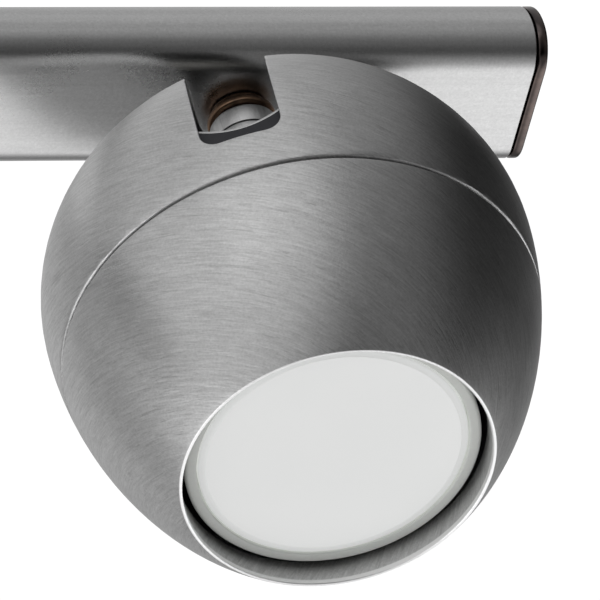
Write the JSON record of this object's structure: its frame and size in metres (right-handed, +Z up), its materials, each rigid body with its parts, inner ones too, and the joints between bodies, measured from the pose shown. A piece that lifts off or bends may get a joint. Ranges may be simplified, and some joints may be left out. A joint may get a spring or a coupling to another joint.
{
  "type": "ceiling spotlight bar",
  "caption": "Slim ceiling bar with ball-shaped reflector-lamp spots, each turning on its stem and swinging about the ball's centre.",
  "frame": {"origin": "middle of the face that meets the ceiling, on the strap", "axes": "+X along the bar, +Z up out of the ceiling face, -Y towards the room"},
  "size_m": [0.3, 0.0837, 0.1032],
  "materials": {
    "satin_metal": "satin brushed nickel",
    "dark_chrome": "glossy dark chrome",
    "steel": "zinc-plated",
    "brass": "satin",
    "ceramic": "unglazed ceramic",
    "lamp_white": "satin moulded",
    "lens": "frosted",
    "nylon": "moulded",
    "rubber": "matt",
    "wire": "matt sheath"
  },
  "bodies": {
    "base": {"bar_profile": "satin_metal", "ceiling_strap": "steel", "cable_grommet": "rubber", "terminal_block": "nylon", "earth_stud": "steel", "earth_tag": "brass", "left_end_cap": "dark_chrome", "right_end_cap": "dark_chrome", "left_strap_grub_screw": "steel", "right_strap_grub_screw": "steel", "left_bar_lead": "wire", "right_bar_lead": "wire", "left_stem_washer": "brass", "left_threaded_nipple": "steel", "left_bar_nut": "steel", "right_stem_washer": "brass", "right_threaded_nipple": "steel", "right_bar_nut": "steel"},
    "left_stem": {"left_collar_cap": "satin_metal", "left_swivel_stem": "satin_metal", "left_yoke": "steel", "left_yoke_nut": "steel"},
    "left_head": {"left_rear_shell": "satin_metal", "left_front_shell": "satin_metal", "left_chassis_plate": "steel", "left_holder_bracket": "steel", "left_lamp_holder": "ceramic", "left_holder_lead": "wire", "left_lamp_body": "lamp_white", "left_lamp_bezel": "lamp_white", "left_lamp_lens": "lens", "left_pivot_pin_a": "steel", "left_pivot_pin_b": "steel", "left_lamp_pin_a": "steel", "left_lamp_pin_b": "steel", "left_bracket_screw_a": "steel", "left_bracket_screw_b": "steel", "left_holder_screw_a": "steel", "left_holder_screw_b": "steel"},
    "right_stem": {"right_collar_cap": "satin_metal", "right_swivel_stem": "satin_metal", "right_yoke": "steel", "right_yoke_nut": "steel"},
    "right_head": {"right_rear_shell": "satin_metal", "right_front_shell": "satin_metal", "right_chassis_plate": "steel", "right_holder_bracket": "steel", "right_lamp_holder": "ceramic", "right_holder_lead": "wire", "right_lamp_body": "lamp_white", "right_lamp_bezel": "lamp_white", "right_lamp_lens": "lens", "right_pivot_pin_a": "steel", "right_pivot_pin_b": "steel", "right_lamp_pin_a": "steel", "right_lamp_pin_b": "steel", "right_bracket_screw_a": "steel", "right_bracket_screw_b": "steel", "right_holder_screw_a": "steel", "right_holder_screw_b": "steel"}
  },
  "joints": [
    {"name": "left_pan", "type": "hinge", "parent": "base", "child": "left_stem", "pos_m": [-0.097, 0, -0.0582], "axis": [0, 0, 1], "range_deg": [-160, 160]},
    {"name": "left_tilt", "type": "hinge", "parent": "left_stem", "child": "left_head", "pos_m": [-0.097, 0, -0.0582], "axis": [-0.9239, 0.3827, 0], "range_deg": [-4, 72]},
    {"name": "right_pan", "type": "hinge", "parent": "base", "child": "right_stem", "pos_m": [0.097, 0, -0.0582], "axis": [0, 0, 1], "range_deg": [-160, 160]},
    {"name": "right_tilt", "type": "hinge", "parent": "right_stem", "child": "right_head", "pos_m": [0.097, 0, -0.0582], "axis": [-0.9239, 0.3827, 0], "range_deg": [-4, 72]}
  ]
}
